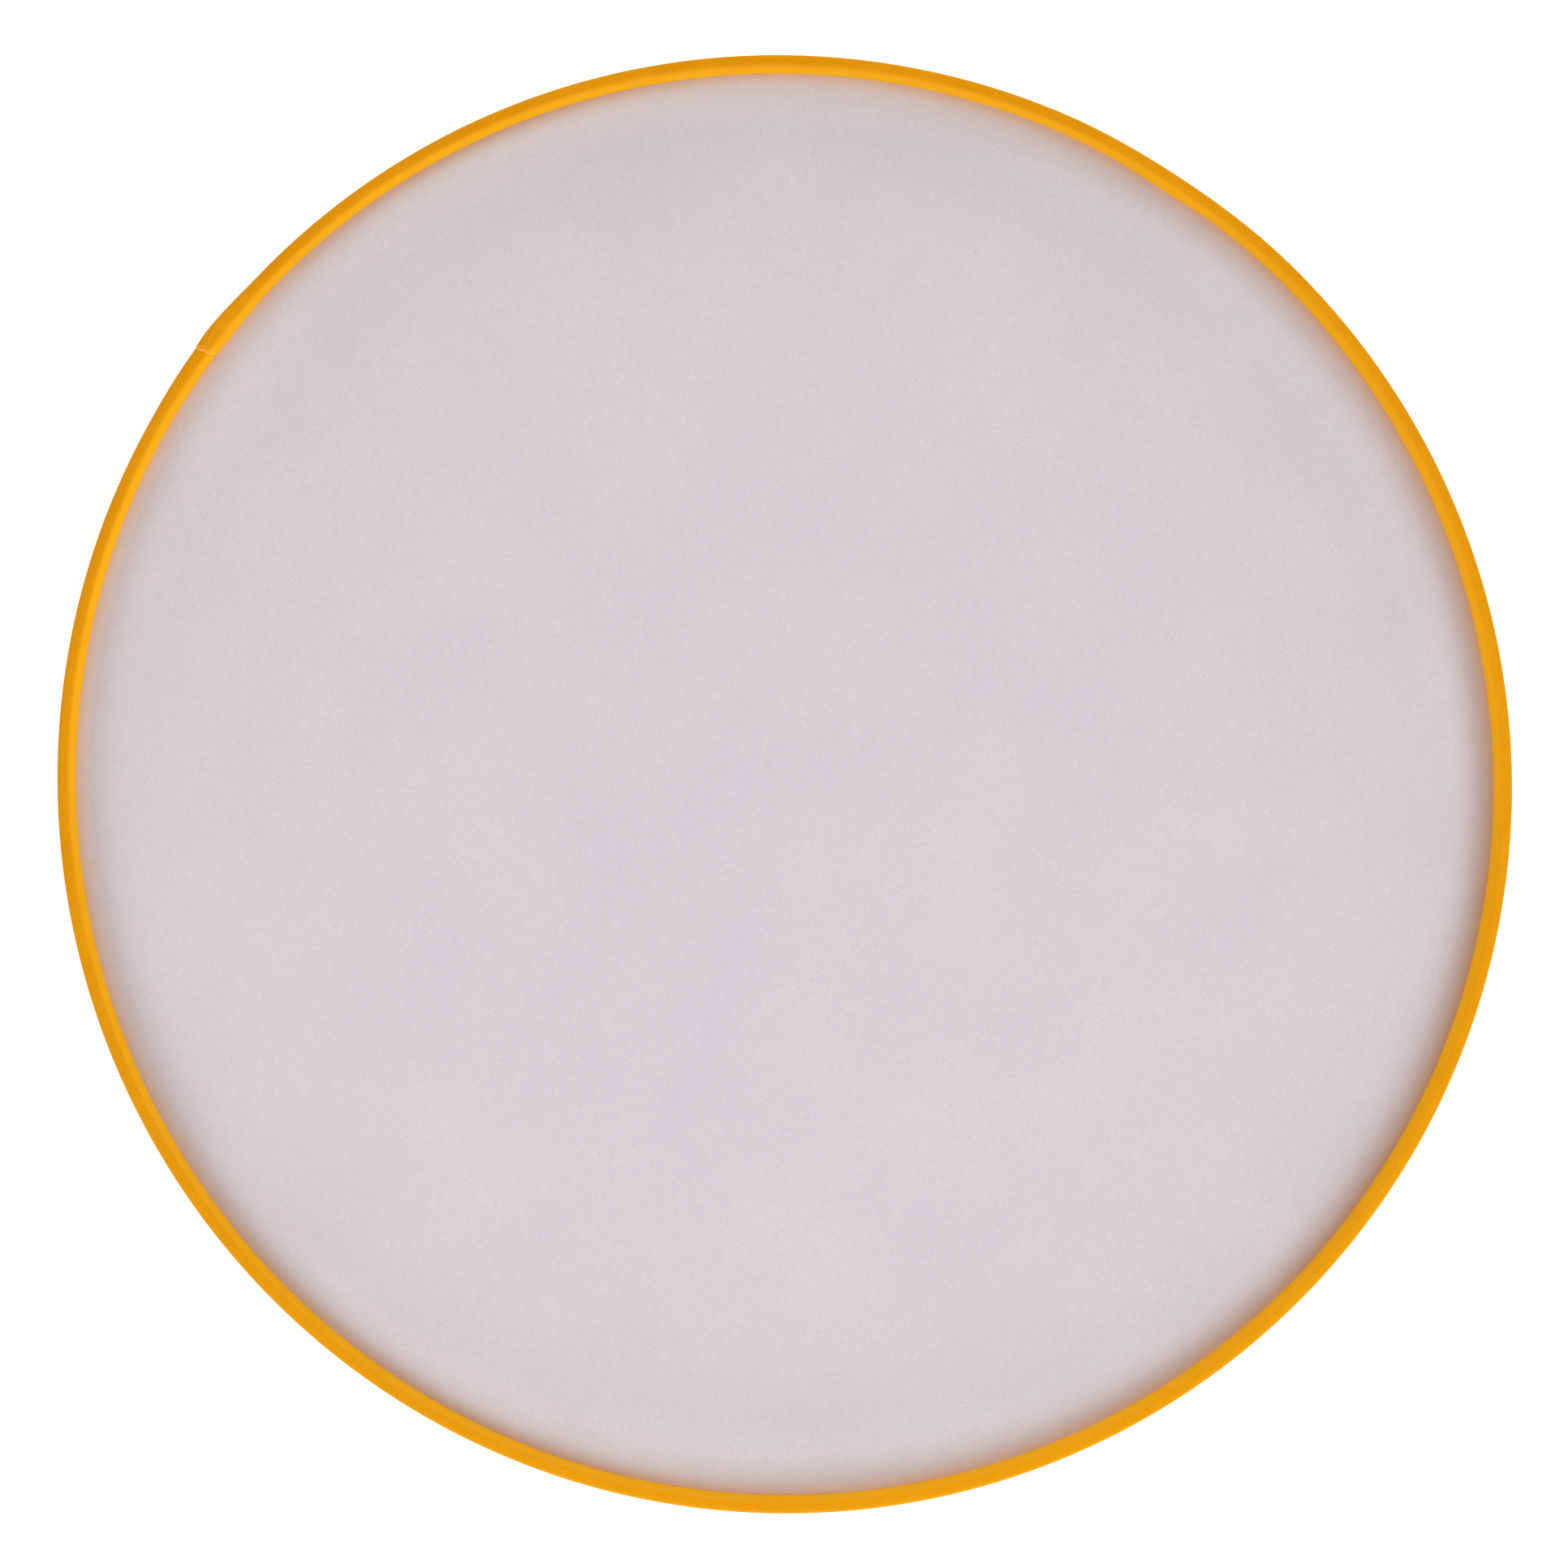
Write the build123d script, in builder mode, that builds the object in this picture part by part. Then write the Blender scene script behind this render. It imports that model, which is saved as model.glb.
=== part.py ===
from build123d import *
from math import cos, radians, sin
import os

os.makedirs("parts", exist_ok=True)

# Twist-fold flying disc. Millimetres, +Z up, origin at the centre of the face it rests on.
# The rim runs along the middle of the steel hoop: a circle with one short flat where the
# hoop's two ends meet in a ferrule. Rim sections are drawn as (outward, up) from that line.

DISC_DIAMETER = 250.0
RIM_HEIGHT = 10.0
LIP_WIDTH = 1.9
LIP_CORNER = 0.4
WALL_LEAN = 0.8

TAPE_THICKNESS = 0.25
HEM_WIDTH = 1.1
PANEL_THICKNESS = 0.25
PANEL_TUCK = 1.0

HOOP_THICKNESS = 0.5
HOOP_HEIGHT = 8.6
HOOP_END_GAP = 0.6

FERRULE_ANGLE = 57.0
FERRULE_LENGTH = 14.0
FERRULE_WALL = 0.25
BLEND_RADIUS = 25.0
BLEND_ANGLE = 4.0

LAP_END_ANGLE = 142.5
LAP_ANGLE = 6.5
LAP_RISE = 0.5
LAP_STEPS = 3
LAP_FOOT = 1.2

THREAD_DIAMETER = 0.2
STITCH_PITCH = 3.0
STITCH_LENGTH = 2.4
STITCH_HEIGHT = 0.75
STITCH_LIFT = 0.03

# Derived sizes
disc_radius = DISC_DIAMETER / 2
hoop_radius = disc_radius - LIP_WIDTH / 2
mid_height = RIM_HEIGHT / 2
half_lip = LIP_WIDTH / 2
half_panel = PANEL_THICKNESS / 2
half_height = RIM_HEIGHT / 2
foot_out = -half_lip - WALL_LEAN
foot_top = half_panel + TAPE_THICKNESS
shoulder = half_height - LIP_CORNER
inner_half = half_lip - TAPE_THICKNESS
inner_top = half_height - TAPE_THICKNESS
wall_slope = WALL_LEAN / (shoulder - foot_top)


def wall_at(height):
    """Outward place of the sloping inner wall's face at a height above the panel's middle."""
    return foot_out + (height - foot_top) * wall_slope


def rim_plane(angle):
    """Section plane across the rim: local X points outward, local Y points up."""
    outward = Vector(cos(radians(angle)), sin(radians(angle)), 0)
    along = Vector(sin(radians(angle)), -cos(radians(angle)), 0)
    centre = outward * hoop_radius + Vector(0, 0, mid_height)
    return Plane(origin=centre, x_dir=outward, z_dir=along)


def rim_line(offset, height):
    """Closed line round the disc, set outward from the hoop's middle line by offset."""
    radius = hoop_radius + offset
    blend = BLEND_RADIUS + offset
    blend_centre = hoop_radius - BLEND_RADIUS
    first = FERRULE_ANGLE + BLEND_ANGLE
    last = FERRULE_ANGLE - BLEND_ANGLE
    with BuildLine(Plane.XY.offset(height)) as line:
        around = CenterArc((0, 0), radius, first, 360 - 2 * BLEND_ANGLE)
        before = (blend_centre * cos(radians(last)), blend_centre * sin(radians(last)))
        into_flat = CenterArc(before, blend, last, BLEND_ANGLE)
        after = (blend_centre * cos(radians(first)), blend_centre * sin(radians(first)))
        out_of_flat = CenterArc(after, blend, FERRULE_ANGLE, BLEND_ANGLE)
        Line(into_flat @ 1, out_of_flat @ 0)
    return line.wire()


# Panel: one disc of cloth whose edge is caught between the tape's two hems
with BuildPart() as panel_cloth:
    with BuildSketch(Plane.XY.offset(mid_height - half_panel)) as panel_outline:
        with BuildLine() as panel_edge:
            add(rim_line(foot_out + PANEL_TUCK, 0))
        make_face()
    extrude(amount=PANEL_THICKNESS)

# Hoop: flat spring steel standing on edge, its ends butted with a small gap
with BuildPart() as spring_hoop:
    with BuildSketch(rim_plane(FERRULE_ANGLE + BLEND_ANGLE)) as hoop_section:
        Rectangle(HOOP_THICKNESS, HOOP_HEIGHT)
    sweep(path=rim_line(0, mid_height))
    with BuildSketch(rim_plane(FERRULE_ANGLE)) as end_gap:
        Rectangle(4 * HOOP_THICKNESS, 2 * HOOP_HEIGHT)
    extrude(amount=HOOP_END_GAP / 2, both=True, mode=Mode.SUBTRACT)

# Ferrule: flat sleeve pressed over the two ends of the hoop
flat_depth = (hoop_radius - BLEND_RADIUS) * (1 - cos(radians(BLEND_ANGLE)))
with BuildPart() as hoop_ferrule:
    with BuildSketch(rim_plane(FERRULE_ANGLE)) as ferrule_section:
        with Locations((-flat_depth, 0)):
            Rectangle(HOOP_THICKNESS + 2 * FERRULE_WALL, HOOP_HEIGHT + 2 * FERRULE_WALL)
            Rectangle(HOOP_THICKNESS, HOOP_HEIGHT, mode=Mode.SUBTRACT)
    extrude(amount=FERRULE_LENGTH / 2, both=True)

# Rim tape: folded round the hoop, both edges turned under and resting on the panel
with BuildPart() as rim_tape:
    with BuildSketch(rim_plane(FERRULE_ANGLE + BLEND_ANGLE)) as tape_section:
        with BuildLine() as tape_half:
            outside = Line((half_lip, 0), (half_lip, shoulder))
            outer_turn = RadiusArc(outside @ 1, (half_lip - LIP_CORNER, half_height), -LIP_CORNER)
            lip = Line(outer_turn @ 1, (LIP_CORNER - half_lip, half_height))
            inner_turn = RadiusArc(lip @ 1, (-half_lip, shoulder), -LIP_CORNER)
            wall = Line(inner_turn @ 1, (foot_out, foot_top))
            hem_fold = Line(wall @ 1, (foot_out, half_panel))
            hem_under = Line(hem_fold @ 1, (foot_out + HEM_WIDTH, half_panel))
            hem_edge = Line(hem_under @ 1, (foot_out + HEM_WIDTH, foot_top))
            hem_over = Line(hem_edge @ 1, (wall_at(foot_top) + TAPE_THICKNESS, foot_top))
            inside_wall = Line(hem_over @ 1, (-inner_half, inner_top))
            inside_lip = Line(inside_wall @ 1, (inner_half, inner_top))
            inside = Line(inside_lip @ 1, (inner_half, 0))
            Line(inside @ 1, outside @ 0)
        make_face()
        mirror(about=Plane.XZ)
    sweep(path=rim_line(0, mid_height))
    for face_side in (1, -1):
        for step in range(LAP_STEPS + 1):
            share = step / LAP_STEPS
            grow = LAP_RISE * share
            buried = TAPE_THICKNESS / 2
            over_lip = grow if face_side > 0 else 0
            with BuildSketch(rim_plane(LAP_END_ANGLE - LAP_ANGLE * (1 - share))) as lap_section:
                with BuildLine() as lap_outline:
                    Polyline(
                        (half_lip + grow, 0),
                        (half_lip + grow, face_side * shoulder),
                        (half_lip - LIP_CORNER + grow, face_side * (half_height + over_lip)),
                        (LIP_CORNER - half_lip - grow, face_side * (half_height + over_lip)),
                        (-half_lip - grow / 2, face_side * shoulder),
                        (wall_at(LAP_FOOT) - grow / 2, face_side * LAP_FOOT),
                        (wall_at(LAP_FOOT) + buried, face_side * LAP_FOOT),
                        (buried - half_lip, face_side * shoulder),
                        (LIP_CORNER - half_lip, face_side * (half_height - buried)),
                        (half_lip - LIP_CORNER, face_side * (half_height - buried)),
                        (half_lip - buried, face_side * shoulder),
                        (half_lip - buried, 0),
                        close=True,
                    )
                make_face()
        loft()

# Seam: one row of lockstitch along the foot of the wall, needle thread above, bobbin below
stitch_out = wall_at(STITCH_HEIGHT) - THREAD_DIAMETER / 2 - STITCH_LIFT
seam_line = rim_line(stitch_out, 0)
stitch_count = round(seam_line.length / STITCH_PITCH)
stitch_places = [seam_line.location_at(index / stitch_count) for index in range(stitch_count)]

with BuildPart() as needle_thread:
    with Locations(Location((0, 0, mid_height + STITCH_HEIGHT))):
        with Locations(*stitch_places):
            Cylinder(THREAD_DIAMETER / 2, STITCH_LENGTH)

with BuildPart() as bobbin_thread:
    with Locations(Location((0, 0, mid_height - STITCH_HEIGHT))):
        with Locations(*stitch_places):
            Cylinder(THREAD_DIAMETER / 2, STITCH_LENGTH)

panel_cloth.part.label = "panel_cloth"
spring_hoop.part.label = "spring_hoop"
hoop_ferrule.part.label = "hoop_ferrule"
rim_tape.part.label = "rim_tape"
needle_thread.part.label = "needle_thread"
bobbin_thread.part.label = "bobbin_thread"
for piece in (panel_cloth, spring_hoop, hoop_ferrule, rim_tape, needle_thread, bobbin_thread):
    export_step(piece.part, f"parts/{piece.part.label}.step")
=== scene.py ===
import bpy
import numpy as np
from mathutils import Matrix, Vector


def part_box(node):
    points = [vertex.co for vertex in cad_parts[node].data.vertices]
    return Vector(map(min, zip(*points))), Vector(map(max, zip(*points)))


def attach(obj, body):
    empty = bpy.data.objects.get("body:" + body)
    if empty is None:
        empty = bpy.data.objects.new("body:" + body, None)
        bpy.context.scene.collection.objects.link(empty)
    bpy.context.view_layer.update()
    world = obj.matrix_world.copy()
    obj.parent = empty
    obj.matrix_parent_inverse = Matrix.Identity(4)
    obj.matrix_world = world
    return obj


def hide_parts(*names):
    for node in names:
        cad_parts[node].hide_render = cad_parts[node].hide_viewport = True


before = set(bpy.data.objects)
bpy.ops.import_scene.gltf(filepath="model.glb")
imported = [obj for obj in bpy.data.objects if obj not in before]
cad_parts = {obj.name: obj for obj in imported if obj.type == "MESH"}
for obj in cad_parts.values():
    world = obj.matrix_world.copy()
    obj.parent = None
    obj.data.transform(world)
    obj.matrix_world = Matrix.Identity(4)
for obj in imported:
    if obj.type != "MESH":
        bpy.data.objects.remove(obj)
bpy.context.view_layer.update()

# Twist-fold flying disc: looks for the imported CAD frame. Metres, same frame as the CAD, +Z up.
# Rim sections are drawn as (outward, up) from the hoop's middle line, halfway up the rim.

MM = 0.001

# ---------------------------------------------------------------- sizes taken from the frame
hoop_low, hoop_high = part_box("spring_hoop")
panel_low, panel_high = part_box("panel_cloth")
tape_low, tape_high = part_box("rim_tape")
ferrule_low, ferrule_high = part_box("hoop_ferrule")

HOOP_THICKNESS = 0.5 * MM
HOOP_RADIUS = hoop_high.x - HOOP_THICKNESS / 2
HALF_HOOP = (hoop_high.z - hoop_low.z) / 2
HALF_FERRULE = (ferrule_high.z - ferrule_low.z) / 2
MID_HEIGHT = (panel_low.z + panel_high.z) / 2
HALF_PANEL = (panel_high.z - panel_low.z) / 2
PANEL_RADIUS = panel_high.x
DISC_RADIUS = tape_high.x
HALF_LIP = DISC_RADIUS - HOOP_RADIUS
HALF_HEIGHT = MID_HEIGHT - tape_low.z

# ---------------------------------------------------------------- the rim as it lies in the hand
TAPE = 0.25 * MM
HEM_WIDTH = 1.1 * MM
WALL_LEAN = 0.88 * MM
LIP_CORNER = 0.45 * MM
LIP_CROWN = 0.1 * MM
CROWN_RADIUS = 3.0 * MM
FOLD_CORNER = 0.2 * MM

# A springy hoop is never quite round: (waves round the rim, depth, angle of the first high point).
# Rounded from a least-squares fit, by a separate script, to the outline in the photo.
OUT_OF_ROUND = ((2, 0.44 * MM, 124.0), (3, 0.14 * MM, 8.0))
FERRULE_ANGLE = 57.0
FERRULE_FLAT = 0.26 * MM
FERRULE_FLAT_SPREAD = 11.0
FERRULE_LENGTH = 14.0 * MM
FERRULE_WALL = 0.25 * MM
HOOP_END_GAP = 0.6 * MM
STEEL_CORNER = 0.12 * MM
FERRULE_BULGE = 0.24 * MM
FERRULE_BULGE_ANGLE = FERRULE_ANGLE + 0.5
FERRULE_BULGE_SPREAD = 5.5

# The tape starts, runs once round, and ends in a lap on its own start; angles in degrees
TAPE_END_ANGLE = 143.5
TAPE_START_ANGLE = 137.0
LAP_RAMP = 7.5
LAP_CREST = 1.5
LAP_RISE = 0.5 * MM
LAP_PRESS = 0.3
INNER_LIFT = 0.45
START_RISE = 0.2 * MM
START_RISE_SPREAD = 8.0
START_DEPTH = 0.35 * MM
END_SLANT_OVER = 0.25
END_SLANT_DOWN = 0.1
END_SLANT_RAMP = (10, 2)
END_HEM = 6.0 * MM
NOSE_ROUNDNESS = 0.985
NOSE_STEPS = 6
# a painted highlight along the tape's folded end
FOLD_HIGHLIGHT_INSET = 0.1 * MM
FOLD_HIGHLIGHT_WIDTH = 0.12 * MM
# the side of the disc where the painted light on the lip is strongest and the painted light on the
# inner wall is weakest
LIT_SIDE = -45.0
STATION_STEP = 0.25
SECTION_SPACING = 0.26 * MM

STITCH_COUNT = 256
STITCH_LENGTH = 2.4 * MM
THREAD_RADIUS = 0.09 * MM
THREAD_SIDES = 8
STITCH_HEIGHT = 0.75 * MM
STITCH_DIP = 0.03 * MM
STITCH_SECTIONS = 11
PUCKER_WIDTH = 0.45 * MM

# The panel's rings lie closer together near the seam
PANEL_EDGE_RINGS = (0, 0.5, 0.9, 1.1, 1.3, 1.5, 1.7, 1.95, 2.2, 2.5, 2.9, 3.5, 4.5, 6, 7.8)
PANEL_INNER_RINGS = 44
PANEL_TURN_STEP = 0.5
RIPPLE_DEPTH = 0.02 * MM
RIPPLE_WIDTH = 5 * MM
SLACK_DEPTH = 0.05 * MM
# Painted shade and orange bounce light on the cloth beside the seam, and a painted shadow there,
# strongest on one side
SEAM_SHADE_AMOUNT = 0.68
SEAM_SHADE_WIDTH = 1.3 * MM
SEAM_SHADOW_AMOUNT = 0.18
SEAM_SHADOW_WIDTH = 4.2 * MM
SEAM_SHADOW_SIDE = -20.0
SEAM_SHADOW_SWING = 0.9


# ---------------------------------------------------------------- helpers
def smooth_step(low, high, value):
    t = np.clip((np.asarray(value, float) - low) / (high - low), 0, 1)
    return t * t * (3 - 2 * t)


def bump(angle, centre, spread):
    """1 at centre, falling smoothly to 0 at spread degrees either side."""
    away = np.abs((np.asarray(angle, float) - centre + 180) % 360 - 180)
    return 1 - smooth_step(0, spread, away)


def rounded_line(corners, spacing):
    """Points along an open line whose inner corners are arcs; corners are (x, y, radius)."""
    points = [np.array(c[:2], float) for c in corners]
    path = [points[0]]
    for before, here, after, corner in zip(points, points[1:], points[2:], corners[1:-1]):
        to_before = (before - here) / np.linalg.norm(before - here)
        to_after = (after - here) / np.linalg.norm(after - here)
        half = np.arccos(np.clip(to_before @ to_after, -1, 1)) / 2
        reach = corner[2] / np.tan(half)
        middle = here + (to_before + to_after) / np.linalg.norm(to_before + to_after) * (
            corner[2] / np.sin(half)
        )
        start = here + to_before * reach - middle
        end = here + to_after * reach - middle
        turn = np.arctan2(start[0] * end[1] - start[1] * end[0], start @ end)
        steps = max(4, int(np.ceil(abs(turn) * corner[2] / spacing)) + 3)
        for share in np.linspace(0, 1, steps):
            angle = turn * share
            cos, sin = np.cos(angle), np.sin(angle)
            turned = [start[0] * cos - start[1] * sin, start[0] * sin + start[1] * cos]
            path.append(middle + np.array(turned))
    path.append(points[-1])
    path = np.array(path)
    out = [path[0]]
    for a, b in zip(path, path[1:]):
        count = max(1, int(round(np.linalg.norm(b - a) / spacing)))
        out.extend(a + (b - a) * (k + 1) / count for k in range(count))
    return np.array(out)


def new_object(name, verts, faces, smooth=True):
    mesh = bpy.data.meshes.new(name)
    mesh.from_pydata([tuple(v) for v in verts], [], faces)
    mesh.update()
    mesh.polygons.foreach_set("use_smooth", [smooth] * len(mesh.polygons))
    obj = bpy.data.objects.new(name, mesh)
    bpy.context.scene.collection.objects.link(obj)
    return obj


def rim_shift(angle):
    """How far the rim stands off a true circle at an angle, in metres."""
    shift = np.zeros_like(np.asarray(angle, float))
    for waves, depth, high in OUT_OF_ROUND:
        shift = shift + depth * np.cos(np.radians(waves * (angle - high)))
    return shift - FERRULE_FLAT * bump(angle, FERRULE_ANGLE, FERRULE_FLAT_SPREAD)


def on_rim(angle, outward, up):
    """World points for places on the rim's section; all three may be arrays."""
    radius = HOOP_RADIUS + rim_shift(angle) + outward
    turn = np.radians(angle)
    return np.stack([radius * np.cos(turn), radius * np.sin(turn), MID_HEIGHT + up + 0 * turn], axis=-1)


# ---------------------------------------------------------------- binding tape
def tape_middle():
    """The tape's middle layer from its upper hem over the lip, down and back to its lower hem."""
    half = TAPE / 2
    foot = -HALF_LIP - WALL_LEAN + half
    side = HALF_LIP - half
    top = HALF_HEIGHT - half
    hem = foot + HEM_WIDTH
    on_panel = HALF_PANEL + half
    upper = [
        (hem, on_panel, 0),
        (foot, on_panel, FOLD_CORNER),
        (-side, top - LIP_CROWN, LIP_CORNER),
        (0, top, CROWN_RADIUS),
        (side, top - LIP_CROWN, LIP_CORNER),
    ]
    lower = [(x, -y, radius) for x, y, radius in reversed(upper)]
    return rounded_line(upper + lower, SECTION_SPACING)


def line_normals(line):
    """Unit normals on the outer side of the folded tape."""
    along = np.gradient(line, axis=0)
    along /= np.linalg.norm(along, axis=1)[:, None]
    return np.stack([-along[:, 1], along[:, 0]], axis=1)


def tape_lift(angle):
    """How far the tape stands off the hoop: its lap on its own start, and the start sunk under it."""
    end = 360 + TAPE_END_ANGLE
    climb = smooth_step(end - LAP_RAMP, end - LAP_CREST, angle)
    press = LAP_PRESS * smooth_step(end - LAP_CREST, end, angle)
    lap = LAP_RISE * (climb - press)
    start = smooth_step(TAPE_START_ANGLE, TAPE_END_ANGLE, angle)
    beside = START_RISE * bump(angle, TAPE_END_ANGLE, START_RISE_SPREAD) * start * (angle < 360)
    sunk = -START_DEPTH * (1 - start)
    return lap + beside, sunk


def there_and_back(values):
    """Values for the tape's outer layer, then for its inner layer, which runs the other way."""
    return np.concatenate([values, values[:, ::-1]], axis=1)


def build_tape():
    line = tape_middle()
    normal = line_normals(line)
    across = np.concatenate([[0], np.cumsum(np.linalg.norm(np.diff(line, axis=0), axis=1))])
    end = 360 + TAPE_END_ANGLE
    stations = np.arange(TAPE_START_ANGLE, end, STATION_STEP)
    nose_turns = np.linspace(0, np.pi / 2, NOSE_STEPS)[1:]
    nose = np.degrees(TAPE * (1 - np.cos(nose_turns)) / DISC_RADIUS)
    stations = np.concatenate([stations[:-1], end - nose[::-1], [end]])

    # the folded end runs a little askew across the tape
    over, down = line[:, 0] - HALF_LIP, line[:, 1] - HALF_HEIGHT
    skew = np.degrees((END_SLANT_OVER * over + END_SLANT_DOWN * down) / DISC_RADIUS)
    skew_share = smooth_step(end - END_SLANT_RAMP[0], end - END_SLANT_RAMP[1], stations)
    angle = stations[:, None] + skew_share[:, None] * skew[None, :]

    # the lap stands less proud on the inner wall, and is flush underneath
    raised, sunk = tape_lift(stations)
    inner_side = 1 - (1 - INNER_LIFT) * smooth_step(-0.5 * MM, 0.3 * MM, -line[:, 0])
    lower_lip = smooth_step(-HALF_HEIGHT + 0.15 * MM, -HALF_HEIGHT + 1.2 * MM, line[:, 1])
    share = inner_side * lower_lip
    lift = raised[:, None] * share[None, :] + sunk[:, None]

    # the end is folded under: two layers with a round nose
    to_end = np.radians(end - stations) * DISC_RADIUS
    doubled = TAPE * (to_end < END_HEM)
    inside_nose = np.clip(1 - to_end / TAPE, 0, NOSE_ROUNDNESS)
    round_off = TAPE * (1 - np.sqrt(1 - inside_nose ** 2))
    outer = TAPE / 2 - round_off
    inner = -TAPE / 2 - doubled + round_off

    # the seam pulls the tape in between its stitches
    near_foot = np.exp(-(((np.abs(line[:, 1]) - STITCH_HEIGHT) / PUCKER_WIDTH) ** 2))
    near_foot = near_foot * (line[:, 0] < 0)
    beat = 0.5 + 0.5 * np.cos(np.radians(angle * STITCH_COUNT))
    pucker = -STITCH_DIP * near_foot[None, :] * beat ** 3

    # the ferrule pushes the inner wall out, but not the lip
    bulge = FERRULE_BULGE * bump(angle, FERRULE_BULGE_ANGLE, FERRULE_BULGE_SPREAD)
    flank = 1 - smooth_step(HALF_HEIGHT - 1.4 * MM, HALF_HEIGHT - 0.3 * MM, np.abs(line[:, 1]))
    bulge = bulge * ((line[:, 0] < 0) * flank)[None, :]

    layers = []
    for off in (outer[:, None] + lift + (pucker + bulge), inner[:, None] + lift):
        outward = line[None, :, 0] + normal[None, :, 0] * off
        up = line[None, :, 1] + normal[None, :, 1] * off
        layers.append(on_rim(angle, outward, up))
    rows, cols = angle.shape
    loop = np.concatenate([layers[0], layers[1][:, ::-1]], axis=1)
    count = loop.shape[1]
    faces = []
    for i in range(rows - 1):
        for j in range(count):
            k = (j + 1) % count
            faces.append((i * count + j, i * count + k, (i + 1) * count + k, (i + 1) * count + j))
    last = (rows - 1) * count
    for j in range(cols - 1):
        a, b = j, j + 1
        c, d = count - 2 - j, count - 1 - j
        faces.append((a, d, c, b))
        faces.append((last + a, last + b, last + c, last + d))
    obj = new_object("binding_tape", loop.reshape(-1, 3), faces)

    every = np.ones_like(angle)
    # painted highlight along the folded end
    fold_highlight = np.exp(-((to_end - FOLD_HIGHLIGHT_INSET) / FOLD_HIGHLIGHT_WIDTH) ** 2)
    # where the inner wall takes the tape's lighter, painted lit colour
    wall = smooth_step(0.7 * MM, 1.1 * MM, -line[:, 0])
    for data_name, values in (
        ("tape_along", np.radians(stations)[:, None] * DISC_RADIUS * every),
        ("tape_across", across[None, :] * every),
        ("tape_fold_highlight", fold_highlight[:, None] * every),
        # painted light round the rim, strongest on one side
        ("tape_lit_side", 0.5 + 0.5 * np.cos(np.radians(angle - LIT_SIDE))),
        ("tape_wall", wall[None, :] * every),
    ):
        add_point_data(obj, data_name, there_and_back(values))
    return obj


def add_point_data(obj, name, values):
    attribute = obj.data.attributes.new(name, "FLOAT", "POINT")
    attribute.data.foreach_set("value", np.asarray(values, np.float32).ravel())


# ---------------------------------------------------------------- steel inside the rim
def chamfered(half_width, half_height, corner):
    """Section corners of an upright bar, anticlockwise seen with outward to the right."""
    wide, tall = half_width - corner, half_height - corner
    quarter = [(half_width, tall), (wide, half_height)]
    top = quarter + [(-x, y) for x, y in reversed(quarter)]
    return top + [(-x, -y) for x, y in top]


def build_steel(name, first, last, skin, hole=None):
    """A bar that follows the rim between two angles, or a sleeve when it has a hole."""
    angles = np.linspace(first, last, max(3, int(last - first) + 1))
    count = len(skin)
    verts, faces = [], []
    for section in [skin, hole] if hole else [skin]:
        for angle in angles:
            verts.extend(on_rim(np.array(angle), x, y) for x, y in section)
    rows = len(angles)
    for layer in range(2 if hole else 1):
        for i in range(rows - 1):
            a, b = (layer * rows + i) * count, (layer * rows + i + 1) * count
            for j in range(count):
                k = (j + 1) % count
                face = (a + j, b + j, b + k, a + k)
                faces.append(face[::-1] if layer else face)
    last_row = (rows - 1) * count
    if hole:
        inner = rows * count
        for j in range(count):
            k = (j + 1) % count
            faces.append((j, k, inner + k, inner + j))
            faces.append((last_row + j, inner + last_row + j, inner + last_row + k, last_row + k))
    else:
        faces.append(tuple(range(count)))
        faces.append(tuple(reversed(range(last_row, last_row + count))))
    return new_object(name, verts, faces, False)


def build_hoop():
    gap = np.degrees(HOOP_END_GAP / HOOP_RADIUS) / 2
    bar = chamfered(HOOP_THICKNESS / 2, HALF_HOOP, STEEL_CORNER)
    return build_steel("bent_hoop", FERRULE_ANGLE + gap, FERRULE_ANGLE + 360 - gap, bar)


def build_ferrule():
    reach = np.degrees(FERRULE_LENGTH / HOOP_RADIUS) / 2
    skin = chamfered(HOOP_THICKNESS / 2 + FERRULE_WALL, HALF_FERRULE, STEEL_CORNER)
    hole = chamfered(HOOP_THICKNESS / 2, HALF_HOOP, STEEL_CORNER)
    return build_steel("pressed_ferrule", FERRULE_ANGLE - reach, FERRULE_ANGLE + reach, skin, hole)


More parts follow.
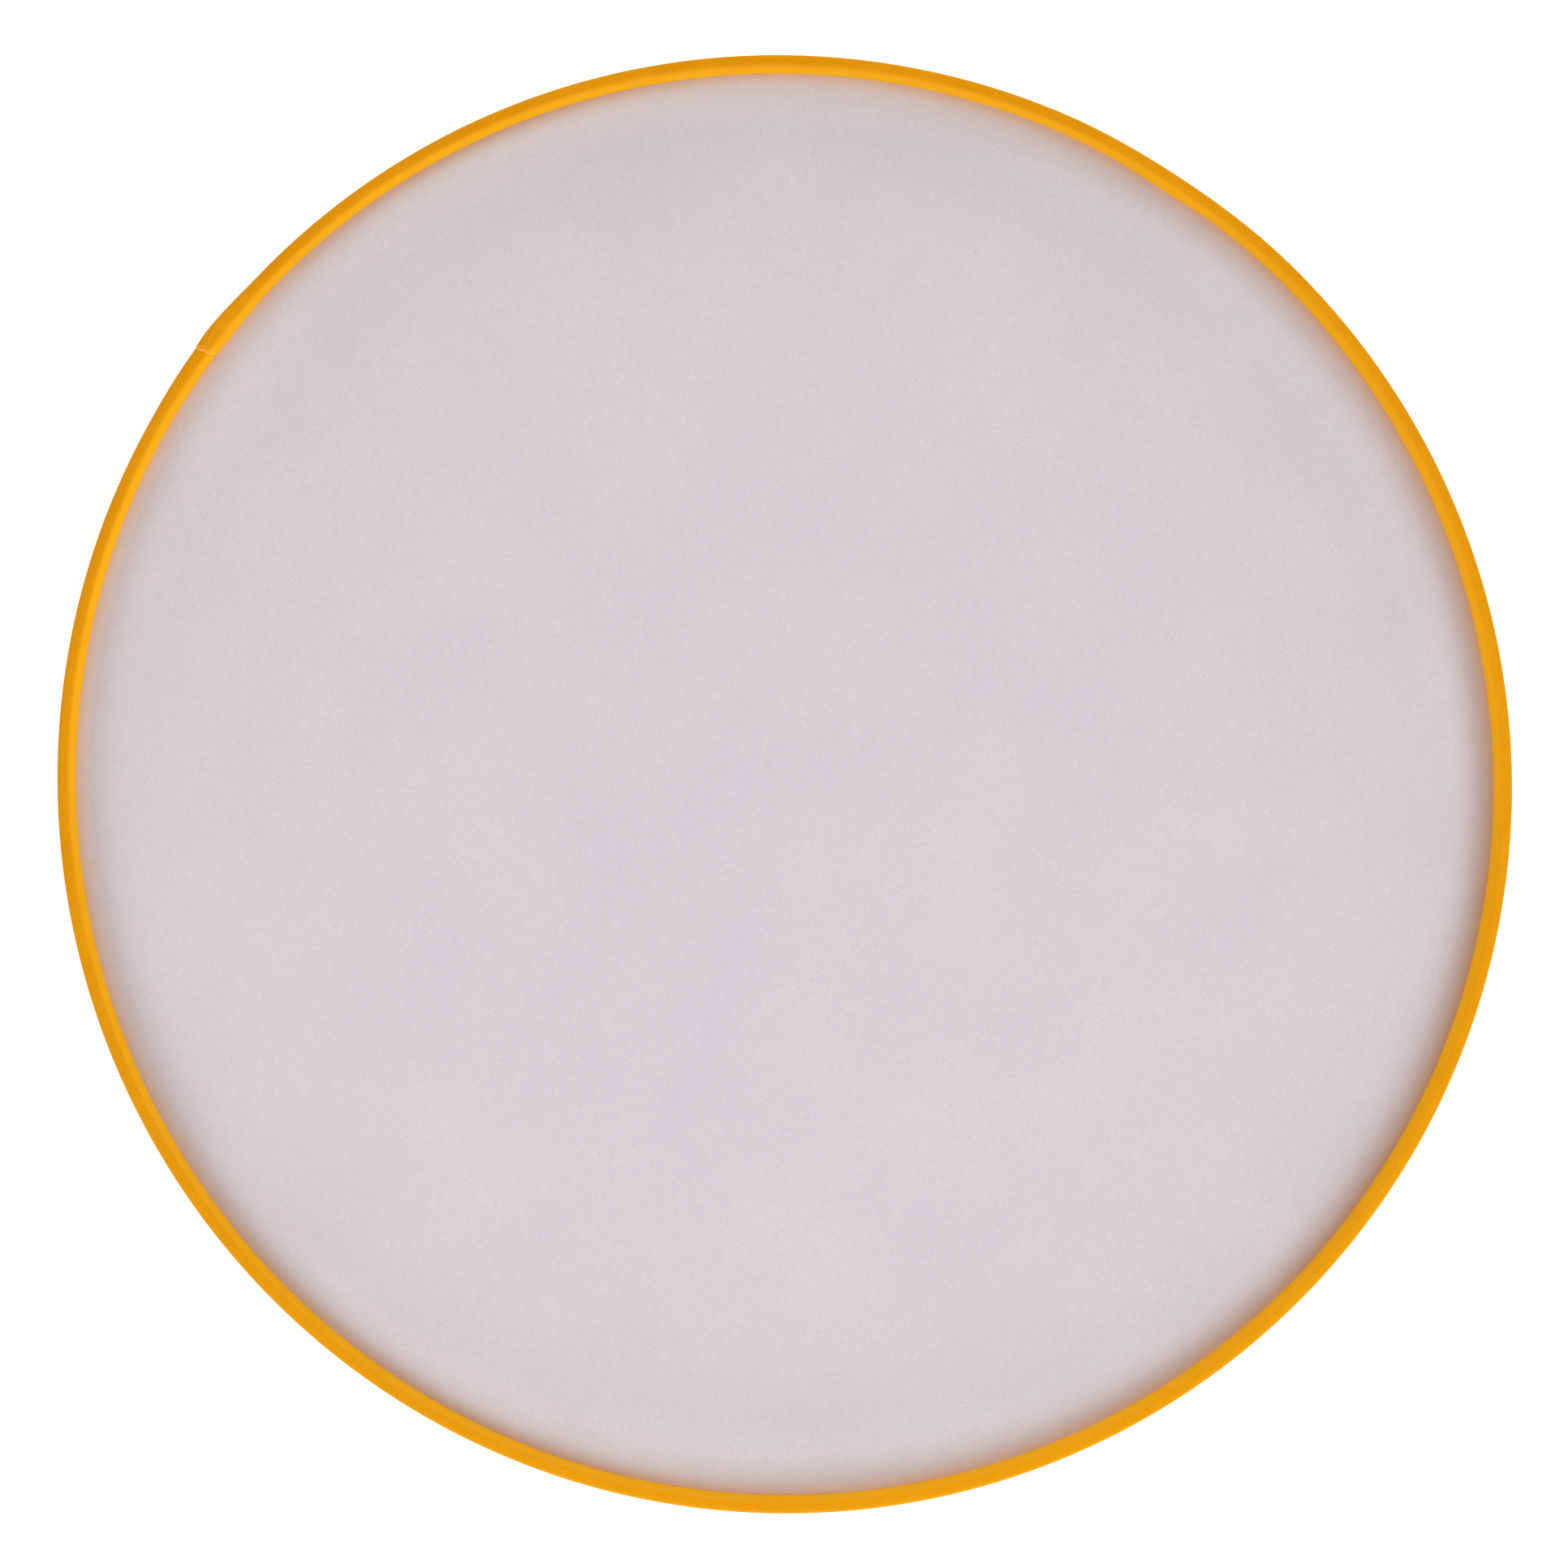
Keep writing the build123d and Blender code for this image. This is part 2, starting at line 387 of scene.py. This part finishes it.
# ---------------------------------------------------------------- panel
def build_panel():
    edge_rings = PANEL_RADIUS - np.array(PANEL_EDGE_RINGS) * MM
    inner_rings = np.linspace(PANEL_RADIUS - 10 * MM, 3 * MM, PANEL_INNER_RINGS)
    rings = np.concatenate([edge_rings, inner_rings])
    turns = np.arange(0, 360, PANEL_TURN_STEP)
    share = rings[:, None] / PANEL_RADIUS
    radius = rings[:, None] + rim_shift(turns)[None, :] * share ** 2
    x = radius * np.cos(np.radians(turns))[None, :]
    y = radius * np.sin(np.radians(turns))[None, :]
    # a faint ripple where the seam pulls, and a faint swell further in
    pull = np.exp(-(((PANEL_RADIUS - rings[:, None]) / RIPPLE_WIDTH) ** 2))
    ripple = RIPPLE_DEPTH * pull * np.cos(np.radians(turns * STITCH_COUNT / 4))[None, :]
    slack = SLACK_DEPTH * np.sin(x * 41 + 1.3) * np.sin(y * 35 + 0.4) * (1 - share ** 4)
    z = MID_HEIGHT + ripple + slack
    top = np.stack([x, y, z + HALF_PANEL], axis=-1)
    bottom = np.stack([x, y, z - HALF_PANEL], axis=-1)
    rows, cols = radius.shape
    centre = np.array([[0, 0, MID_HEIGHT + HALF_PANEL], [0, 0, MID_HEIGHT - HALF_PANEL]])
    verts = np.concatenate([top.reshape(-1, 3), bottom.reshape(-1, 3), centre])
    under = rows * cols
    faces = []
    for j in range(cols):
        k = (j + 1) % cols
        for i in range(rows - 1):
            a, b, c, d = i * cols + j, i * cols + k, (i + 1) * cols + k, (i + 1) * cols + j
            faces.append((a, b, c, d))
            faces.append((under + a, under + d, under + c, under + b))
        faces.append(((rows - 1) * cols + j, (rows - 1) * cols + k, 2 * under))
        faces.append((under + (rows - 1) * cols + k, under + (rows - 1) * cols + j, 2 * under + 1))
        faces.append((j, under + j, under + k, k))
    obj = new_object("stretched_panel", verts, faces)

    # painted shade and painted orange bounce light from the rim wall on the cloth beside the seam, and
    # a painted shadow there that is strongest on one side
    seam_radius = HOOP_RADIUS - HALF_LIP - WALL_LEAN
    inside = np.clip(seam_radius - rings, 0, None)
    seam_shade = SEAM_SHADE_AMOUNT * np.exp(-((inside / SEAM_SHADE_WIDTH) ** 2))
    seam_shadow = SEAM_SHADOW_AMOUNT * np.exp(-((inside / SEAM_SHADOW_WIDTH) ** 2))
    swing = 1 + SEAM_SHADOW_SWING * np.cos(np.radians(turns - SEAM_SHADOW_SIDE))
    seam_shade = seam_shade[:, None] + seam_shadow[:, None] * swing[None, :]
    add_point_data(obj, "painted_seam_shade", np.concatenate([seam_shade.ravel(), seam_shade.ravel(), [0, 0]]))
    return obj


# ---------------------------------------------------------------- seam
def build_stitches(name, side):
    """One row of lockstitch along the foot of the wall; side is 1 above the panel, -1 below."""
    line = tape_middle()
    half = line[(line[:, 1] * side > 0) & (line[:, 0] < -HALF_LIP / 2)]
    order = np.argsort(half[:, 1] * side)
    foot_out = np.interp(STITCH_HEIGHT, (half[:, 1] * side)[order], half[:, 0][order])
    lean = WALL_LEAN / (HALF_HEIGHT - HALF_PANEL)
    tilt = np.array([-1, lean]) / np.hypot(1, lean)
    span = np.degrees(STITCH_LENGTH / DISC_RADIUS)
    along = np.linspace(-1, 1, STITCH_SECTIONS)
    ring = np.linspace(0, 2 * np.pi, THREAD_SIDES + 1)[:-1]
    dive = -THREAD_RADIUS * (0.35 + 1.9 * np.abs(along) ** 4)
    thin = 1 - 0.25 * np.abs(along) ** 6
    verts = []
    faces = []
    for centre in (np.arange(STITCH_COUNT) + 0.5) * 360 / STITCH_COUNT:
        angle = centre + along * span / 2
        top_layer = np.where(angle < TAPE_END_ANGLE, angle + 360, angle)
        lap = INNER_LIFT * tape_lift(top_layer)[0]
        swell = FERRULE_BULGE * bump(angle, FERRULE_BULGE_ANGLE, FERRULE_BULGE_SPREAD)
        off = TAPE / 2 + dive + lap + swell - STITCH_DIP * 0.5
        base = len(verts)
        for a, o, fat in zip(angle, off, thin):
            for r in ring:
                place = tilt * (o + THREAD_RADIUS * fat * np.cos(r))
                height = THREAD_RADIUS * fat * np.sin(r)
                outward = foot_out + place[0] + height * lean
                up = side * (STITCH_HEIGHT + place[1] + height)
                verts.append(on_rim(np.array(a), outward, up))
        for i in range(STITCH_SECTIONS - 1):
            for j in range(THREAD_SIDES):
                k = (j + 1) % THREAD_SIDES
                a, b = base + i * THREAD_SIDES, base + (i + 1) * THREAD_SIDES
                quad = (a + j, a + k, b + k, b + j)
                faces.append(quad if side > 0 else quad[::-1])
        first = tuple(base + j for j in range(THREAD_SIDES))
        last = tuple(base + (STITCH_SECTIONS - 1) * THREAD_SIDES + j for j in range(THREAD_SIDES))
        faces.append(first[::-1] if side > 0 else first)
        faces.append(last if side > 0 else last[::-1])
    return new_object(name, verts, faces)


# ---------------------------------------------------------------- materials
def linear(red, green, blue):
    """sRGB 0-255 to scene-linear."""
    values = np.array([red, green, blue]) / 255
    return (*np.where(values <= 0.04045, values / 12.92, ((values + 0.055) / 1.055) ** 2.4), 1)


WEAVE_PITCH = 0.24 * MM
WEAVE_DEPTH = 0.35
WEAVE_TONE = 0.2
CLOTH_GRAIN = 0.05 * MM

PANEL_DARK = linear(204, 199, 204)
PANEL_LIGHT = linear(212, 208, 212)
PANEL_FLECK = linear(194, 190, 194)
# painted shade and orange bounce light on the cloth beside the seam
PANEL_SEAM_SHADE = linear(208, 175, 156)
# painted light: the lip colours are lighter towards one side, and the wall colours are a lighter copy
# of the same tape, lighter towards the other side
LIP_DARK = linear(214, 138, 2)
LIP_LIGHT = linear(233, 157, 6)
WALL_LIT_DARK = linear(223, 155, 1)
WALL_LIT_LIGHT = linear(236, 168, 3)
TAPE_SPECK = linear(150, 90, 14)
# painted highlight along the tape's folded end
TAPE_FOLD_HIGHLIGHT = linear(254, 190, 84)
THREAD_DARK = linear(218, 142, 12)
THREAD_LIGHT = linear(234, 160, 24)


class Nodes:
    """A thin wrapper that adds shader nodes and links them in one call."""

    def __init__(self, name):
        self.material = bpy.data.materials.new(name)
        self.material.use_nodes = True
        self.tree = self.material.node_tree
        self.shader = self.tree.nodes["Principled BSDF"]

    def put(self, socket, value):
        if isinstance(value, bpy.types.NodeSocket):
            self.tree.links.new(value, socket)
        else:
            socket.default_value = value

    def add(self, kind, inputs=(), output=0, **settings):
        node = self.tree.nodes.new(kind)
        for key, value in settings.items():
            setattr(node, key, value)
        for key, value in dict(inputs).items():
            self.put(node.inputs[key], value)
        return node.outputs[output]

    def maths(self, operation, first, second, third=0.0):
        return self.add("ShaderNodeMath", {0: first, 1: second, 2: third}, operation=operation)

    def mix(self, factor, first, second):
        return self.add(
            "ShaderNodeMix", {0: factor, 6: first, 7: second}, output=2, data_type="RGBA"
        )

    def noise(self, vector, scale, detail=2.0, roughness=0.5):
        inputs = {"Vector": vector, "Scale": scale, "Detail": detail, "Roughness": roughness}
        return self.add("ShaderNodeTexNoise", inputs)

    def ramp(self, value, low, high):
        inputs = {"Value": value, "From Min": low, "From Max": high}
        return self.add("ShaderNodeMapRange", inputs, clamp=True)

    def bump(self, height, strength, distance):
        inputs = {"Height": height, "Strength": strength, "Distance": distance}
        return self.add("ShaderNodeBump", inputs)

    def surface(self, **sockets):
        for key, value in sockets.items():
            self.put(self.shader.inputs[key.replace("_", " ")], value)
        return self.material


def weave(nodes, x, y):
    """Height of a plain weave: rounded threads that pass over and under each other."""
    wave_x = nodes.maths("SINE", nodes.maths("MULTIPLY", x, float(np.pi / WEAVE_PITCH)), 0)
    wave_y = nodes.maths("SINE", nodes.maths("MULTIPLY", y, float(np.pi / WEAVE_PITCH)), 0)
    return nodes.maths("MULTIPLY", wave_x, wave_y)


def panel_material():
    nodes = Nodes("panel_polyester")
    place = nodes.add("ShaderNodeTexCoord", output="Object")
    split = nodes.tree.nodes.new("ShaderNodeSeparateXYZ")
    nodes.put(split.inputs[0], place)
    cloth = weave(nodes, split.outputs[0], split.outputs[1])
    fibres = nodes.noise(place, 1300.0, 3.0, 0.65)
    flecks = nodes.ramp(nodes.noise(place, 1900.0, 1.0), 0.62, 0.74)
    mottle = nodes.noise(place, 45.0, 3.0)
    tone = nodes.maths(
        "ADD",
        nodes.maths("MULTIPLY", nodes.ramp(fibres, 0.3, 0.7), 0.6),
        nodes.maths("MULTIPLY", nodes.ramp(mottle, 0.3, 0.7), 0.4),
    )
    tone = nodes.maths("MULTIPLY_ADD", cloth, WEAVE_TONE, tone)
    colour = nodes.mix(tone, PANEL_DARK, PANEL_LIGHT)
    colour = nodes.mix(nodes.maths("MULTIPLY", flecks, 0.65), colour, PANEL_FLECK)
    # painted shade, orange bounce light and shadow beside the seam, mixed into the cloth's colour
    painted_seam_shade = nodes.add("ShaderNodeAttribute", output="Fac", attribute_name="painted_seam_shade")
    colour = nodes.mix(painted_seam_shade, colour, PANEL_SEAM_SHADE)
    height = nodes.maths("MULTIPLY_ADD", cloth, WEAVE_DEPTH, nodes.maths("MULTIPLY", fibres, 1.2))
    normal = nodes.bump(height, 0.3, CLOTH_GRAIN)
    rough = nodes.ramp(nodes.noise(place, 900.0), -3.0, 3.0)
    return nodes.surface(
        Base_Color=colour, Roughness=rough, Normal=normal, Specular_IOR_Level=0.12,
    )


def tape_material():
    nodes = Nodes("rim_polyester")
    along = nodes.add("ShaderNodeAttribute", output="Fac", attribute_name="tape_along")
    across = nodes.add("ShaderNodeAttribute", output="Fac", attribute_name="tape_across")
    fold_highlight = nodes.add("ShaderNodeAttribute", output="Fac", attribute_name="tape_fold_highlight")
    place = nodes.add("ShaderNodeTexCoord", output="Object")
    cloth = weave(nodes, along, across)
    fibres = nodes.noise(place, 1500.0, 3.0, 0.6)
    mottle = nodes.noise(place, 150.0, 4.0, 0.6)
    specks = nodes.ramp(nodes.noise(place, 2300.0, 0.0), 0.8, 0.84)
    tone = nodes.maths(
        "ADD",
        nodes.maths("MULTIPLY", nodes.ramp(mottle, 0.3, 0.7), 0.6),
        nodes.maths("MULTIPLY", nodes.ramp(fibres, 0.3, 0.7), 0.4),
    )
    # painted light: the lip is lighter towards one side, and the inner wall is a lighter copy of the
    # tape, lighter towards the other side
    lit_side = nodes.add("ShaderNodeAttribute", output="Fac", attribute_name="tape_lit_side")
    wall = nodes.add("ShaderNodeAttribute", output="Fac", attribute_name="tape_wall")
    tone = nodes.maths("MULTIPLY_ADD", cloth, WEAVE_TONE, tone)
    half_tone = nodes.maths("MULTIPLY", tone, 0.5)
    lip_tone = nodes.maths("MULTIPLY_ADD", lit_side, 0.5, half_tone)
    lit_wall_tone = nodes.maths("MULTIPLY_ADD", lit_side, -0.5, nodes.maths("ADD", half_tone, 0.5))
    lip_colour = nodes.mix(lip_tone, LIP_DARK, LIP_LIGHT)
    lit_wall_colour = nodes.mix(lit_wall_tone, WALL_LIT_DARK, WALL_LIT_LIGHT)
    colour = nodes.mix(wall, lip_colour, lit_wall_colour)
    colour = nodes.mix(nodes.maths("MULTIPLY", specks, 0.35), colour, TAPE_SPECK)
    # painted highlight along the folded end
    colour = nodes.mix(nodes.maths("MULTIPLY", fold_highlight, 0.9), colour, TAPE_FOLD_HIGHLIGHT)
    height = nodes.maths("MULTIPLY_ADD", cloth, WEAVE_DEPTH, fibres)
    normal = nodes.bump(height, 0.3, CLOTH_GRAIN)
    rough = nodes.ramp(nodes.noise(place, 700.0), -3.5, 3.0)
    return nodes.surface(
        Base_Color=colour, Roughness=rough, Normal=normal, Specular_IOR_Level=0.06,
    )


def thread_material():
    nodes = Nodes("seam_thread")
    place = nodes.add("ShaderNodeTexCoord", output="Object")
    tone = nodes.noise(place, 1500.0, 2.0)
    colour = nodes.mix(nodes.ramp(tone, 0.3, 0.7), THREAD_DARK, THREAD_LIGHT)
    normal = nodes.bump(tone, 0.3, 0.03 * MM)
    return nodes.surface(Base_Color=colour, Roughness=0.6, Normal=normal, Specular_IOR_Level=0.2)


def steel_material(name, grey, grain):
    nodes = Nodes(name)
    place = nodes.add("ShaderNodeTexCoord", output="Object")
    streak = nodes.add("ShaderNodeMapping", {"Vector": place, "Scale": (120, 120, grain)})
    drawn = nodes.noise(streak, 1.0, 3.0)
    dark, light = (grey * 0.9, grey * 0.9, grey * 0.92, 1), (grey, grey, grey, 1)
    colour = nodes.mix(nodes.ramp(drawn, 0.35, 0.65), dark, light)
    rough = nodes.ramp(drawn, -0.6, 2.2)
    normal = nodes.bump(drawn, 0.1, 0.02 * MM)
    return nodes.surface(Base_Color=colour, Metallic=1.0, Roughness=rough, Normal=normal)


def floor_material(name, white, glow):
    nodes = Nodes(name)
    place = nodes.add("ShaderNodeTexCoord", output="Object")
    dark, light = white - 2, white
    colour = nodes.mix(
        nodes.noise(place, 3.0), linear(dark, dark, dark), linear(light, light, light)
    )
    return nodes.surface(
        Base_Color=colour, Roughness=0.9, Emission_Color=(1, 1, 1, 1), Emission_Strength=glow
    )


def set_material(obj, material):
    obj.data.materials.clear()
    obj.data.materials.append(material)


# ---------------------------------------------------------------- studio
CAMERA_HEIGHT = 1.0
# the photo's width over the disc's width in it
FRAME_MARGIN = 1.07578
FRAME_WIDTH = 2 * DISC_RADIUS * FRAME_MARGIN
SENSOR = 36.0
# Soft panels of light: (side of the disc, elevation, width, strength, distance), with angles in
# degrees and None for far away. Two stand near, so the disc is a little brighter on the -Y side.
# The choice of lights and their strengths come from least-squares fits, by separate scripts, to
# the shading in the photo; the strengths were rounded by hand.
LOW, HIGH = (9, 16), (38, 30)
SOFT_LIGHTS = (
    (270, *LOW, 1.6, 1.6),
    (270, *HIGH, 0.75, 1.6),
    (0, *HIGH, 0.8, None),
    (45, *LOW, 1.05, None),
    (45, *HIGH, 0.75, None),
    (135, *LOW, 1.3, None),
    (180, *HIGH, 1.4, None),
    (315, *HIGH, 0.8, None),
)
FLOOR_HALF = 3.0
FLOOR_HEIGHT = -0.05 * MM
FLOOR_WHITE = 248
FLOOR_GLOW = 0.6
BOUNCE_FLOOR_HEIGHT = -0.3 * MM
BOUNCE_FLOOR_WHITE = 200


def build_camera():
    data = bpy.data.cameras.new("camera")
    data.sensor_width = SENSOR
    data.lens = SENSOR * CAMERA_HEIGHT / FRAME_WIDTH
    data.clip_start = 0.01
    data.clip_end = 20
    camera = bpy.data.objects.new("camera", data)
    camera.location = (0, 0, 2 * MID_HEIGHT + CAMERA_HEIGHT)
    bpy.context.scene.collection.objects.link(camera)
    bpy.context.scene.camera = camera


def soft_light(name, azimuth, elevation, width, strength, distance):
    """A broad round panel of light; azimuth is the side of the disc that it stands on."""
    data = bpy.data.lights.new(name, "AREA" if distance else "SUN")
    if distance:
        data.shape = "DISK"
        data.size = 2 * distance * np.tan(np.radians(width / 2))
        data.energy = strength * np.pi * distance ** 2
    else:
        data.angle = np.radians(width)
        data.energy = strength
    light = bpy.data.objects.new(name, data)
    turn, rise = np.radians(azimuth), np.radians(elevation)
    towards = Vector((np.cos(rise) * np.cos(turn), np.cos(rise) * np.sin(turn), np.sin(rise)))
    light.location = towards * (distance or 1)
    light.rotation_euler = towards.to_track_quat("Z", "Y").to_euler()
    bpy.context.scene.collection.objects.link(light)


def build_floor(name, height, material):
    half = FLOOR_HALF
    corners = [(-half, -half, 0), (half, -half, 0), (half, half, 0), (-half, half, 0)]
    floor = new_object(name, corners, [(0, 1, 2, 3)], False)
    floor.location.z = height
    set_material(floor, material)
    return floor


def build_studio():
    for number, light in enumerate(SOFT_LIGHTS):
        soft_light(f"soft_light_{number}", *light)
    # the floor that is seen glows, to stay white; the one that lights the rim from below does not
    white = floor_material("studio_floor", FLOOR_WHITE, FLOOR_GLOW)
    seen = build_floor("floor", FLOOR_HEIGHT, white)
    seen.visible_diffuse = False
    seen.visible_glossy = False
    seen.visible_shadow = False
    plain = floor_material("bounce_floor", BOUNCE_FLOOR_WHITE, 0)
    under = build_floor("bounce_floor", BOUNCE_FLOOR_HEIGHT, plain)
    under.visible_camera = False
    # white behind the floor, seen in low views only
    world = bpy.data.worlds.new("studio_world")
    world.use_nodes = True
    world.node_tree.nodes["Background"].inputs["Color"].default_value = (1, 1, 1, 1)
    bpy.context.scene.world = world
    world.cycles_visibility.diffuse = False
    world.cycles_visibility.glossy = False
    bpy.context.scene.view_settings.view_transform = "Standard"


# ---------------------------------------------------------------- assembly
tape = build_tape()
set_material(tape, tape_material())
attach(tape, "root")
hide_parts("rim_tape")

panel = build_panel()
set_material(panel, panel_material())
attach(panel, "root")
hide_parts("panel_cloth")

thread = thread_material()
for stitch_name, stitch_side, node in (
    ("needle_stitches", 1, "needle_thread"),
    ("bobbin_stitches", -1, "bobbin_thread"),
):
    stitches = build_stitches(stitch_name, stitch_side)
    set_material(stitches, thread)
    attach(stitches, "root")
    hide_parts(node)

hoop = build_hoop()
set_material(hoop, steel_material("rolled_spring_steel", 0.5, 2500))
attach(hoop, "root")
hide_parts("spring_hoop")

ferrule = build_ferrule()
set_material(ferrule, steel_material("pressed_steel", 0.62, 1200))
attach(ferrule, "root")
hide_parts("hoop_ferrule")

build_studio()
build_camera()
